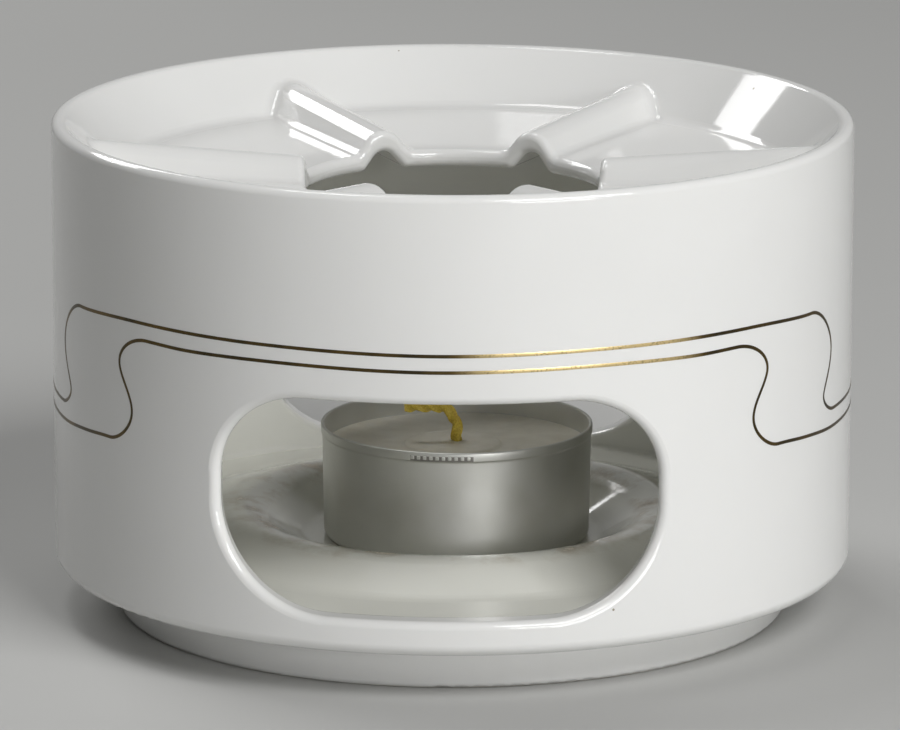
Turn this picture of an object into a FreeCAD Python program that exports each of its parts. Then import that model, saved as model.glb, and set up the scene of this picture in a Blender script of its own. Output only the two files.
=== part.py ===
import FreeCAD, Part
import math
import os

import Sketcher

# Teapot warmer: a porcelain drum with a recessed top plate, two windows and a tealight on its floor.
# All sizes are millimetres. The foot stands on z = 0, the axis of the drum is the Z axis,
# and the two windows look along -Y and +Y.

os.makedirs("parts", exist_ok=True)
doc = FreeCAD.newDocument("teapot_warmer")

# Driving sizes: name, value, what it is
SIZES = [
    ("body_radius", 57.5, "outside radius of the straight wall"),
    ("body_height", 71.5, "foot to rim"),
    ("wall_thickness", 4.0, "straight wall between outside and chamber"),
    ("rim_width", 1.9, "flat top of the rim before it is rounded"),
    ("rim_rounding", 1.1, "rounding of the outer edge of the rim"),
    ("rim_inner_rounding", 1.2, "rounding of the inner edge of the rim"),
    ("recess_inset", 8.8, "outer wall in to where the sloping recess wall meets the top plate"),
    ("recess_depth", 8.2, "rim down to the outer edge of the top plate"),
    ("recess_rounding", 2.5, "hollow rounding between recess wall and plate"),
    ("plate_thickness", 2.5, "top plate"),
    ("plate_fall", 1.15, "how far the plate falls from its outer edge to the hole"),
    ("hole_radius", 21.2, "heat hole in the middle of the plate"),
    ("hole_rounding", 1.05, "rounding of the edge of the heat hole"),
    ("ceiling_rounding", 6.0, "hollow rounding between chamber wall and ceiling"),
    ("ridge_count", 6, "hollow ridges embossed in the plate"),
    ("ridge_height", 3.2, "crest above the plate at the hole"),
    ("ridge_rise", 1.9, "how far the crest climbs from the hole to the recess wall"),
    ("ridge_root", 1.5, "how far the ridge section is sunk into the plate"),
    ("ridge_width", 8.7, "width of a ridge where it leaves the plate"),
    ("ridge_side_run", 0.84, "how far the side of a ridge runs out for each mm that it falls"),
    ("ridge_rounding", 3.5, "rounding of the crest"),
    ("ridge_foot_rounding", 2.0, "hollow rounding along the foot of a ridge"),
    ("ridge_end_inset", 3.5, "end of a ridge inside the outer wall surface"),
    ("hollow_skin", 3.05, "porcelain between the crest and the hollow under it"),
    ("hollow_width", 6.6, "width of the hollow at the underside of the plate"),
    ("hollow_side_run", 0.9, "the same for the side of the hollow"),
    ("hollow_root", 1.0, "how far the hollow section is drawn below the plate"),
    ("hollow_rounding", 2.15, "rounding of the roof of the hollow"),
    ("hollow_foot_rounding", 1.4, "rounding where the hollow meets the underside"),
    ("hollow_end_inset", 1.2, "end of the hollow inside the recess radius"),
    ("window_count", 2, "windows, evenly round the drum"),
    ("window_width", 60.3, "window, straight across"),
    ("window_sill_rise", 1.4, "sill above the chamber floor at the wall"),
    ("window_sill_radius", 15.0, "lower corners of the window"),
    ("window_jamb", 3.55, "straight side of the window between lower and upper corner"),
    ("window_head_radius", 12.0, "upper corners of the window"),
    ("window_outer_rounding", 1.1, "edge of the window on the outside"),
    ("window_inner_rounding", 0.9, "edge of the window in the chamber"),
    ("window_cut_clearance", 2.0, "start of the window cut inside the chamber wall"),
    ("floor_edge_rise", 4.1, "chamber floor at the wall above the underside by the foot ring"),
    ("floor_edge_rounding", 0.8, "hollow rounding between chamber wall and floor"),
    ("apron_width", 10.5, "chamber wall in to where its floor starts to climb steeply"),
    ("apron_rise", 0.8, "how far the floor climbs over that width"),
    ("apron_rounding", 12.0, "hollow rounding where the floor starts to climb steeply"),
    ("crest_rise", 4.6, "how far the chamber floor climbs from the wall to its highest ring"),
    ("crest_rounding", 9.0, "rounding of that ring"),
    ("well_depth", 5.2, "bottom of the well below the highest ring of the floor"),
    ("well_wall_run", 8.8, "highest ring of the floor in to the bottom of the well"),
    ("well_clearance", 1.7, "bottom of the well outside the rim of the tealight cup"),
    ("well_rounding", 3.0, "hollow rounding at the bottom of the well"),
    ("well_under_inset", 1.6, "underside of the well, how much narrower it is than the well"),
    ("floor_thickness", 4.0, "porcelain under chamber floor and well"),
    ("base_height", 6.4, "underside of the drum beside the foot ring"),
    ("base_climb", 0.6, "how far the underside climbs out to the wall"),
    ("base_rounding", 1.8, "rounding between underside and wall"),
    ("foot_inset", 9.2, "outer wall in to the outside of the foot ring, on the table"),
    ("foot_flare", 0.6, "how much wider the foot ring is at its top"),
    ("foot_width", 4.2, "foot ring, outside to inside"),
    ("foot_rounding", 0.9, "rounding of both edges of the foot ring"),
    ("cup_radius", 19.65, "tealight cup over its rolled rim"),
    ("cup_height", 16.6, "tealight cup, bottom to rim"),
    ("cup_foil", 0.3, "sheet of the cup"),
    ("cup_bead", 0.2, "how far the rolled rim stands out from the cup wall"),
    ("cup_bead_height", 1.35, "height of the rolled rim"),
    ("cup_taper", 0.25, "how much narrower the cup wall is at its foot"),
    ("cup_bead_rounding", 0.18, "rounding of the rolled rim"),
    ("cup_rounding", 1.0, "rounding between cup wall and bottom"),
    ("cup_shift", 0.65, "tealight off the axis of the warmer, along X"),
    ("wax_drop", 3.4, "rim of the cup down to the wax"),
    ("wax_mound_radius", 7.0, "raised disc of wax round the wick"),
    ("wax_mound_height", 0.35, "height of that disc"),
    ("wax_mound_rounding", 0.25, "rounding of the edge of that disc"),
    ("wax_mound_shift", -0.6, "middle of that disc off the axis of the cup, along X"),
    ("melt_gap", 0.05, "clearance round wax, wick and its holder"),
    ("holder_radius", 6.2, "disc of the wick holder"),
    ("holder_sheet", 0.3, "sheet of the wick holder"),
    ("holder_neck_height", 3.5, "neck of the wick holder over its disc"),
    ("wick_diameter", 1.9, "waxed cotton wick"),
    ("wick_stand", 3.1, "wick straight up from the wax before it bends"),
    ("wick_bend", 2.4, "radius of the bend, to the middle of the wick"),
    ("wick_lean", 5.4, "free end of the wick past the bend"),
    ("wick_end_rounding", 0.3, "rounding of the free end of the wick"),
]

sheet = doc.addObject("Spreadsheet::Sheet", "Sizes")
for row, (name, value, note) in enumerate(SIZES, start=1):
    sheet.set("A%d" % row, name)
    sheet.set("B%d" % row, str(value))
    sheet.setAlias("B%d" % row, name)
    sheet.set("C%d" % row, note)
doc.recompute()


class Size:
    """A length with its value now and the formula that ties it to the sheet of sizes."""

    def __init__(self, value, formula):
        self.value = float(value)
        self.formula = formula

    def _with(self, other, sign, value):
        text = other.formula if isinstance(other, Size) else repr(other)
        return Size(value, "(%s %s %s)" % (self.formula, sign, text))

    def __add__(self, other):
        return self._with(other, "+", self.value + number(other))

    def __sub__(self, other):
        return self._with(other, "-", self.value - number(other))

    def __mul__(self, other):
        return self._with(other, "*", self.value * number(other))

    def __truediv__(self, other):
        return self._with(other, "/", self.value / number(other))

    def __neg__(self):
        return Size(-self.value, "(0 - %s)" % self.formula)


def number(thing):
    return thing.value if isinstance(thing, Size) else float(thing)


def short_side(longest, other):
    """The third side of a right-angled triangle from its longest side and one other."""
    length = math.sqrt(longest.value ** 2 - other.value ** 2)
    return Size(length, "sqrt(%s ^ 2 - %s ^ 2)" % (longest.formula, other.formula))


class Sizes:
    """The rows of the sheet, each one a Size."""


size = Sizes()
for name, value, note in SIZES:
    setattr(size, name, Size(value, "Sizes.%s" % name))

AXIS = None  # a coordinate that lies on an axis of the sketch
ZERO = Size(0, "0")
FULL_TURN = 360.0
NEAR = 0.02  # two places closer than this are the same
STRAIGHT = 1e-6  # two directions closer than this are the same

# Levels and radii of the drum that several features share
recess_radius = size.body_radius - size.recess_inset
plate_height = size.body_height - size.recess_depth
plate_low = plate_height - size.plate_fall
chamber_radius = size.body_radius - size.wall_thickness
rim_radius = size.body_radius - size.rim_width
plate_slope = size.plate_fall / (recess_radius - size.hole_radius)
plate_middle = plate_height - plate_slope * recess_radius
ceiling_middle = plate_middle - size.plate_thickness
ceiling_edge = ceiling_middle + plate_slope * chamber_radius
foot_radius = size.body_radius - size.foot_inset
foot_inside = foot_radius - size.foot_width
well_radius = size.cup_radius + size.well_clearance
crest_radius = well_radius + size.well_wall_run
floor_edge_height = size.base_height + size.floor_edge_rise
crest_height = floor_edge_height + size.crest_rise
apron_radius = chamber_radius - size.apron_width
apron_height = floor_edge_height + size.apron_rise
well_height = crest_height - size.well_depth
well_under = well_height - size.floor_thickness
well_under_radius = well_radius - size.well_under_inset
crest_under = crest_height - size.floor_thickness
edge_under = floor_edge_height - size.floor_thickness
window_sill = floor_edge_height + size.window_sill_rise
window_height = size.window_sill_radius + size.window_jamb + size.window_head_radius
window_head = window_sill + window_height
window_start = short_side(chamber_radius, size.window_width / 2) - size.window_cut_clearance

# Ridges and hollows, measured down from the line of the crests
ridge_slope = size.ridge_rise / (recess_radius - size.hole_radius)
ridge_middle = plate_low + size.ridge_height - ridge_slope * size.hole_radius
ridge_foot_drop = size.ridge_height + size.ridge_root
ridge_half_root = size.ridge_width / 2 + size.ridge_root * size.ridge_side_run
ridge_reach = size.body_radius - size.ridge_end_inset
hollow_foot_drop = size.ridge_height + size.plate_thickness + size.hollow_root
hollow_half_root = size.hollow_width / 2 + size.hollow_root * size.hollow_side_run
hollow_reach = recess_radius - size.hollow_end_inset
hole_depth = size.recess_depth + size.plate_fall + size.plate_thickness * 2

# The tealight, measured from the bottom of its cup
cup_wall = size.cup_radius - size.cup_bead
cup_foot = cup_wall - size.cup_taper
cup_inside = cup_wall - size.cup_foil
cup_slope = size.cup_taper / (size.cup_height - size.cup_bead_height)
wax_top = size.cup_height - size.wax_drop
wax_foot_radius = cup_foot - size.cup_foil - size.melt_gap
wax_top_radius = wax_foot_radius + cup_slope * wax_top
wick_radius = size.wick_diameter / 2
bore_radius = wick_radius + size.melt_gap
neck_radius = bore_radius + size.holder_sheet
neck_top = size.holder_sheet + size.holder_neck_height
wick_bend_height = wax_top + size.wick_stand


def bind(thing, prop, length):
    thing.setExpression(prop, length.formula)


def origin_part(body, role):
    return [feature for feature in body.Origin.OriginFeatures if feature.Role == role][0]


def new_body(label, across=ZERO, up=ZERO):
    """A body whose own origin stands at this place on the X and Z axes."""
    body = doc.addObject("PartDesign::Body", label)
    body.Label = label
    body.Placement = FreeCAD.Placement(
        FreeCAD.Vector(across.value, 0, up.value), FreeCAD.Rotation())
    bind(body, "Placement.Base.x", across)
    bind(body, "Placement.Base.z", up)
    return body


def new_sketch(body, name, role):
    sketch = body.newObject("Sketcher::SketchObject", name)
    sketch.AttachmentSupport = [(origin_part(body, role), "")]
    sketch.MapMode = "FlatFace"
    return sketch


def pin_point(sketch, item, across, up):
    """Fix the first point of a line, or a point, at its distances from the sketch's axes."""
    for way, distance, axis in (("DistanceX", across, -2), ("DistanceY", up, -1)):
        if distance is AXIS:
            sketch.addConstraint(Sketcher.Constraint("PointOnObject", item, 1, axis))
        else:
            place = Sketcher.Constraint(way, -1, 1, item, 1, distance.value)
            index = sketch.addConstraint(place)
            bind(sketch, "Constraints[%d]" % index, distance)


def outline(sketch, corners):
    """A closed outline through corners that are each tied to the sizes.

    A corner is (across, up), or (across, up, radius) where an arc rounds it. The corner of an arc
    stays in the sketch as a point that lies on both of its lines.
    """
    count = len(corners)
    radii = [corner[2] if len(corner) > 2 else None for corner in corners]
    spots = [FreeCAD.Vector(number(corner[0] or 0), number(corner[1] or 0), 0) for corner in corners]
    starts, ends, arcs = list(spots), list(spots), {}
    for index, radius in enumerate(radii):
        if radius is None:
            continue
        spot = spots[index]
        back = (spots[index - 1] - spot).normalize()
        ahead = (spots[(index + 1) % count] - spot).normalize()
        half = back.getAngle(ahead) / 2
        ends[index] = spot + back * (radius.value / math.tan(half))
        starts[index] = spot + ahead * (radius.value / math.tan(half))
        centre = spot + (back + ahead).normalize() * (radius.value / math.sin(half))
        turns_left = ahead.cross(back).z > 0
        first, last = (ends[index], starts[index]) if turns_left else (starts[index], ends[index])
        angles = [math.atan2(point.y - centre.y, point.x - centre.x) for point in (first, last)]
        circle = Part.Circle(centre, FreeCAD.Vector(0, 0, 1), radius.value)
        arcs[index] = (Part.ArcOfCircle(circle, *angles), turns_left)

    for index in range(count):
        sketch.addGeometry(Part.LineSegment(starts[index], ends[(index + 1) % count]))
    for index, (across, up) in enumerate(corner[:2] for corner in corners):
        line_in, line_out = (index - 1) % count, index
        if radii[index] is None:
            sketch.addConstraint(Sketcher.Constraint("Coincident", line_in, 2, line_out, 1))
            pin_point(sketch, line_out, across, up)
            continue
        shape, turns_left = arcs[index]
        arc = sketch.addGeometry(shape)
        near, far = (1, 2) if turns_left else (2, 1)
        sketch.addConstraint(Sketcher.Constraint("Tangent", line_in, 2, arc, near))
        sketch.addConstraint(Sketcher.Constraint("Tangent", arc, far, line_out, 1))
        size_of_arc = sketch.addConstraint(Sketcher.Constraint("Radius", arc, radii[index].value))
        bind(sketch, "Constraints[%d]" % size_of_arc, radii[index])
        corner = sketch.addGeometry(Part.Point(spots[index]), True)
        sketch.addConstraint(Sketcher.Constraint("PointOnObject", corner, 1, line_in))
        sketch.addConstraint(Sketcher.Constraint("PointOnObject", corner, 1, line_out))
        pin_point(sketch, corner, across, up)


def circle_sketch(body, name, across, up, radius):
    """A level circle at this height, its middle this far along X."""
    sketch = new_sketch(body, name, "XY_Plane")
    sketch.AttachmentOffset = FreeCAD.Placement(
        FreeCAD.Vector(across.value, 0, up.value), FreeCAD.Rotation())
    bind(sketch, "AttachmentOffset.Base.x", across)
    bind(sketch, "AttachmentOffset.Base.z", up)
    centre = FreeCAD.Vector(0, 0, 0)
    sketch.addGeometry(Part.Circle(centre, FreeCAD.Vector(0, 0, 1), radius.value))
    sketch.addConstraint(Sketcher.Constraint("Coincident", 0, 3, -1, 1))
    index = sketch.addConstraint(Sketcher.Constraint("Radius", 0, radius.value))
    bind(sketch, "Constraints[%d]" % index, radius)
    return sketch


def revolve(body, sketch, name):
    turned = body.newObject("PartDesign::Revolution", name)
    turned.Profile = sketch
    turned.ReferenceAxis = (sketch, ["V_Axis"])
    turned.Angle = FULL_TURN
    doc.recompute()
    return turned


def fillet(body, base, name, radius, wanted):
    """Round every edge of the base feature that the test picks out."""
    names = ["Edge%d" % (index + 1) for index, edge in enumerate(base.Shape.Edges) if wanted(edge)]
    print("%-22s rounds %2d edges" % (name, len(names)))
    if not names:
        raise ValueError("%s rounds nothing" % name)
    rounded = body.newObject("PartDesign::Fillet", name)
    rounded.Base = (base, names)
    rounded.Radius = radius.value
    bind(rounded, "Radius", radius)
    doc.recompute()
    return rounded


def is_ring(edge, radius, height):
    """True for a circle about the Z axis at this radius and height."""
    curve = edge.Curve
    if not isinstance(curve, Part.Circle):
        return False
    same_radius = abs(curve.Radius - number(radius)) < NEAR
    same_height = abs(curve.Center.z - number(height)) < NEAR
    return same_radius and same_height and abs(abs(curve.Axis.z) - 1) < STRAIGHT


def ring(*places):
    return lambda edge: any(is_ring(edge, radius, height) for radius, height in places)


def radius_at(point):
    return math.hypot(point.x, point.y)


def middle(edge):
    return edge.valueAt((edge.FirstParameter + edge.LastParameter) / 2)


def samples(edge):
    return [edge.valueAt(edge.FirstParameter), middle(edge), edge.valueAt(edge.LastParameter)]


def lies_at(edge, radius):
    """True if the whole edge keeps this distance from the Z axis."""
    return all(abs(radius_at(point) - radius.value) < NEAR for point in samples(edge))


def lies_between(edge, low, high):
    """True if the whole edge lies between two heights."""
    return all(low.value - NEAR < point.z < high.value + NEAR for point in samples(edge))


def is_turned(face):
    """True for a face that comes from turning the section about the Z axis."""
    surface = face.Surface
    if isinstance(surface, (Part.Plane, Part.Cylinder, Part.Cone)):
        return abs(abs(surface.Axis.z) - 1) < STRAIGHT
    return isinstance(surface, Part.Toroid)


def parts_ridge_from_plate(shape, edge):
    """True for an edge between a turned face and a face of a ridge or hollow, away from the hole."""
    if lies_at(edge, size.hole_radius) or radius_at(middle(edge)) > rim_radius.value:
        return False
    if middle(edge).z < ceiling_middle.value:
        return False
    turned = [is_turned(face) for face in shape.ancestorsOfType(edge, Part.Face)]
    return turned.count(True) == 1 and turned.count(False) == 1


def above_plate(point):
    """True on the upper side of the plate's middle surface."""
    middle_surface = plate_middle.value + plate_slope.value * radius_at(point)
    return point.z > middle_surface - size.plate_thickness.value / 2


def window_sketch(body):
    """The window seen from the front: straight head, sill and jambs joined by four arcs."""
    sketch = new_sketch(body, "window_outline", "XZ_Plane")
    half = size.window_width.value / 2
    low = window_sill.value
    high = low + window_height.value
    head = size.window_head_radius.value
    foot = size.window_sill_radius.value
    line = Part.LineSegment
    spot = FreeCAD.Vector

    def corner(x, z, radius, start):
        circle = Part.Circle(spot(x, z, 0), spot(0, 0, 1), radius)
        return Part.ArcOfCircle(circle, start, start + math.pi / 2)

    sketch.addGeometry([
        line(spot(-half + foot, low, 0), spot(half - foot, low, 0)),
        corner(half - foot, low + foot, foot, -math.pi / 2),
        line(spot(half, low + foot, 0), spot(half, high - head, 0)),
        corner(half - head, high - head, head, 0),
        line(spot(half - head, high, 0), spot(-half + head, high, 0)),
        corner(-half + head, high - head, head, math.pi / 2),
        line(spot(-half, high - head, 0), spot(-half, low + foot, 0)),
        corner(-half + foot, low + foot, foot, math.pi),
    ])
    sides = sketch.GeometryCount
    sill, sill_corner, right, right_head, head_line, left_head, left = range(sides - 1)
    for index in range(sides):
        following = (index + 1) % sides
        sketch.addConstraint(Sketcher.Constraint("Tangent", index, 2, following, 1))
    for index in (sill, head_line):
        sketch.addConstraint(Sketcher.Constraint("Horizontal", index))
    for index in (right, left):
        sketch.addConstraint(Sketcher.Constraint("Vertical", index))
    sketch.addConstraint(Sketcher.Constraint("Symmetric", right, 1, left, 2, -2))
    dimensions = [
        (Sketcher.Constraint("DistanceX", left, 2, right, 1, 2 * half), size.window_width),
        (Sketcher.Constraint("DistanceY", -1, 1, sill, 1, low), window_sill),
        (Sketcher.Constraint("DistanceY", sill, 1, head_line, 1, high - low), window_height),
        (Sketcher.Constraint("Radius", sill_corner, foot), size.window_sill_radius),
        (Sketcher.Constraint("Radius", right_head, head), size.window_head_radius),
        (Sketcher.Constraint("Radius", left_head, head), size.window_head_radius),
    ]
    for constraint, length in dimensions:
        index = sketch.addConstraint(constraint)
        bind(sketch, "Constraints[%d]" % index, length)
    return sketch


def polar_pattern(body, name, originals, count):
    pattern = body.newObject("PartDesign::PolarPattern", name)
    pattern.Originals = originals
    pattern.Axis = (origin_part(body, "Z_Axis"), [""])
    pattern.Angle = FULL_TURN
    pattern.Occurrences = int(count.value)
    bind(pattern, "Occurrences", count)
    body.Tip = pattern
    doc.recompute()
    return pattern


def must_shrink(feature, before):
    """A cut that misses its solid shows no error, so its volume is compared."""
    removed = before.Shape.Volume - feature.Shape.Volume
    print("%-22s takes away %.0f mm3" % (feature.Label, removed))
    if removed <= 0:
        raise ValueError("%s cuts nothing" % feature.Label)


def cut_windows(body, turned):
    """The windows, cut straight through the wall and rounded on both sides."""
    sketch = window_sketch(body)
    sketch.AttachmentOffset = FreeCAD.Placement(
        FreeCAD.Vector(0, 0, window_start.value), FreeCAD.Rotation())
    bind(sketch, "AttachmentOffset.Base.z", window_start)
    window = body.newObject("PartDesign::Pocket", "front_window")
    window.Profile = sketch
    window.Length = size.body_radius.value
    bind(window, "Length", size.body_radius)
    window.Reversed = True
    doc.recompute()
    must_shrink(window, turned)
    windows = polar_pattern(body, "all_windows", [window], size.window_count)
    must_shrink(windows, window)

    def window_edge(radius):
        return lambda edge: (lies_at(edge, radius)
                             and lies_between(edge, window_sill, window_head))

    outside = fillet(body, windows, "window_outer_edges", size.window_outer_rounding,
                     window_edge(size.body_radius))
    return fillet(body, outside, "window_inner_edges", size.window_inner_rounding,
                  window_edge(chamber_radius))


def ridge_sketch(body, name, crest, root, half_root, rounding):
    """Section of a ridge or of the hollow under it: two slopes joined by a tangent crest arc.

    The sketch stands on the axis of the drum and leans back, so that what is pushed out from it
    climbs towards the rim. Heights are measured down from the line of the ridge crests.
    """
    sketch = new_sketch(body, name, "YZ_Plane")
    lean = math.degrees(math.atan(ridge_slope.value))
    sketch.AttachmentOffset = FreeCAD.Placement(
        FreeCAD.Vector(0, ridge_middle.value, 0),
        FreeCAD.Rotation(FreeCAD.Vector(1, 0, 0), -lean))
    bind(sketch, "AttachmentOffset.Base.y", ridge_middle)
    sketch.setExpression("AttachmentOffset.Rotation.Angle", "atan(%s)" % ridge_slope.formula)
    sketch.setExpression("AttachmentOffset.Rotation.Axis.x", "-1")

    spot = FreeCAD.Vector
    centre = crest.value - rounding.value
    reach = math.hypot(half_root.value, centre - root.value)
    slope = math.atan2(centre - root.value, half_root.value)
    normal = math.acos(rounding.value / reach) - slope
    touch = spot(rounding.value * math.cos(normal), centre + rounding.value * math.sin(normal), 0)
    circle = Part.Circle(spot(0, centre, 0), spot(0, 0, 1), rounding.value)
    sketch.addGeometry([
        Part.LineSegment(spot(-half_root.value, root.value, 0), spot(half_root.value, root.value, 0)),
        Part.LineSegment(spot(half_root.value, root.value, 0), touch),
        Part.ArcOfCircle(circle, normal, math.pi - normal),
        Part.LineSegment(spot(-touch.x, touch.y, 0), spot(-half_root.value, root.value, 0)),
    ])
    base, right, arc, left = range(4)
    for first, second in ((base, right), (left, base)):
        sketch.addConstraint(Sketcher.Constraint("Coincident", first, 2, second, 1))
    for first, second in ((right, arc), (arc, left)):
        sketch.addConstraint(Sketcher.Constraint("Tangent", first, 2, second, 1))
    sketch.addConstraint(Sketcher.Constraint("Symmetric", base, 1, base, 2, -2))
    sketch.addConstraint(Sketcher.Constraint("PointOnObject", arc, 3, -2))
    dimensions = [
        (Sketcher.Constraint("DistanceX", base, 1, base, 2, 2 * half_root.value), half_root * 2),
        (Sketcher.Constraint("DistanceY", -1, 1, base, 1, root.value), root),
        (Sketcher.Constraint("DistanceY", -1, 1, arc, 3, centre), crest - rounding),
        (Sketcher.Constraint("Radius", arc, rounding.value), rounding),
    ]
    for constraint, length in dimensions:
        index = sketch.addConstraint(constraint)
        bind(sketch, "Constraints[%d]" % index, length)
    return sketch


def emboss_ridges(body, before):
    """One ridge with the hollow under it, from the axis out into the wall, then all round."""
    ridge = body.newObject("PartDesign::Pad", "ridge")
    ridge.Profile = ridge_sketch(body, "ridge_section", ZERO, -ridge_foot_drop,
                                 ridge_half_root, size.ridge_rounding)
    ridge.Length = ridge_reach.value
    bind(ridge, "Length", ridge_reach)
    doc.recompute()

    hollow = body.newObject("PartDesign::Pocket", "hollow")
    hollow.Profile = ridge_sketch(body, "hollow_section", -size.hollow_skin, -hollow_foot_drop,
                                  hollow_half_root, size.hollow_rounding)
    hollow.Length = hollow_reach.value
    bind(hollow, "Length", hollow_reach)
    hollow.Reversed = True
    doc.recompute()
    must_shrink(hollow, ridge)

    ridges = polar_pattern(body, "six_ridges", [ridge, hollow], size.ridge_count)

    hole = body.newObject("PartDesign::Pocket", "heat_hole")
    hole.Profile = circle_sketch(body, "hole_outline", ZERO, size.body_height, size.hole_radius)
    hole.Length = hole_depth.value
    bind(hole, "Length", hole_depth)
    doc.recompute()
    must_shrink(hole, ridges)

    pierced = hole.Shape
    feet = fillet(body, hole, "ridge_feet", size.ridge_foot_rounding,
                  lambda edge: parts_ridge_from_plate(pierced, edge) and above_plate(middle(edge)))
    footed = feet.Shape
    half_length = (hollow_reach.value - size.hole_radius.value) / 2
    under = fillet(body, feet, "hollow_feet", size.hollow_foot_rounding,
                   lambda edge: parts_ridge_from_plate(footed, edge)
                   and not above_plate(middle(edge)) and edge.Length > half_length)
    return fillet(body, under, "hole_edges", size.hole_rounding,
                  lambda edge: lies_at(edge, size.hole_radius)
                  and lies_between(edge, ceiling_middle, size.body_height)
                  and not isinstance(edge.Curve, Part.Line))


def porcelain_body():
    """The drum: turned section, windows, ridges, heat hole and roundings, one piece of porcelain."""
    body = new_body("porcelain_body")
    section = new_sketch(body, "body_section", "XZ_Plane")
    outline(section, [
        (AXIS, well_under),
        (well_under_radius, well_under, size.well_rounding),
        (crest_radius, crest_under, size.crest_rounding),
        (foot_inside, edge_under, size.foot_rounding),
        (foot_inside, AXIS, size.foot_rounding),
        (foot_radius, AXIS, size.foot_rounding),
        (foot_radius + size.foot_flare, size.base_height),
        (size.body_radius, size.base_height + size.base_climb, size.base_rounding),
        (size.body_radius, size.body_height, size.rim_rounding),
        (rim_radius, size.body_height, size.rim_inner_rounding),
        (recess_radius, plate_height, size.recess_rounding),
        (AXIS, plate_middle),
        (AXIS, ceiling_middle),
        (chamber_radius, ceiling_edge, size.ceiling_rounding),
        (chamber_radius, floor_edge_height, size.floor_edge_rounding),
        (apron_radius, apron_height, size.apron_rounding),
        (crest_radius, crest_height, size.crest_rounding),
        (well_radius, well_height, size.well_rounding),
        (AXIS, well_height),
    ])
    turned = revolve(body, section, "turned_section")
    windowed = cut_windows(body, turned)
    emboss_ridges(body, windowed)
    return body


def tealight_cup():
    """Thin aluminium cup with a rolled rim; it stands on the bottom of the well."""
    body = new_body("tealight_cup", size.cup_shift, well_height)
    bead_low = size.cup_height - size.cup_bead_height
    section = new_sketch(body, "cup_section", "XZ_Plane")
    outline(section, [
        (AXIS, AXIS),
        (cup_foot, AXIS, size.cup_rounding),
        (cup_wall, bead_low),
        (size.cup_radius, bead_low, size.cup_bead_rounding),
        (size.cup_radius, size.cup_height, size.cup_bead_rounding),
        (cup_inside, size.cup_height, size.cup_bead_rounding),
        (cup_inside, bead_low),
        (cup_foot - size.cup_foil, size.cup_foil, size.cup_rounding - size.cup_foil),
        (AXIS, size.cup_foil),
    ])
    revolve(body, section, "turned_cup")
    return body


def tealight_wax():
    """Wax that fills the cup, clear of the wick and its holder, with a raised disc on top."""
    body = new_body("tealight_wax", size.cup_shift, well_height + size.cup_foil)
    top = wax_top - size.cup_foil
    disc_top = size.holder_sheet + size.melt_gap
    section = new_sketch(body, "wax_section", "XZ_Plane")
    outline(section, [
        (neck_radius + size.melt_gap, disc_top),
        (size.holder_radius + size.melt_gap, disc_top),
        (size.holder_radius + size.melt_gap, AXIS),
        (wax_foot_radius, AXIS, size.cup_rounding),
        (wax_top_radius, top),
        (AXIS, top),
        (AXIS, neck_top + size.melt_gap),
        (neck_radius + size.melt_gap, neck_top + size.melt_gap),
    ])
    revolve(body, section, "cast_wax")

    mound = body.newObject("PartDesign::Pad", "wax_mound")
    mound.Profile = circle_sketch(body, "mound_outline", size.wax_mound_shift, top,
                                  size.wax_mound_radius)
    mound.Length = size.wax_mound_height.value
    bind(mound, "Length", size.wax_mound_height)
    doc.recompute()
    crown = top + size.wax_mound_height
    soft = fillet(body, mound, "mound_edge", size.wax_mound_rounding,
                  ring((size.wax_mound_radius, crown)))

    bore = body.newObject("PartDesign::Pocket", "wick_bore")
    bore.Profile = circle_sketch(body, "bore_outline", ZERO, crown, bore_radius)
    bore.Length = (crown - neck_top).value
    bind(bore, "Length", crown - neck_top)
    doc.recompute()
    must_shrink(bore, soft)
    return body


def wick_holder():
    """Sheet disc with a neck that keeps the wick upright."""
    body = new_body("wick_holder", size.cup_shift, well_height + size.cup_foil)
    section = new_sketch(body, "holder_section", "XZ_Plane")
    outline(section, [
        (bore_radius, AXIS),
        (size.holder_radius, AXIS),
        (size.holder_radius, size.holder_sheet),
        (neck_radius, size.holder_sheet),
        (neck_radius, neck_top),
        (bore_radius, neck_top),
    ])
    revolve(body, section, "turned_holder")
    return body


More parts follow.
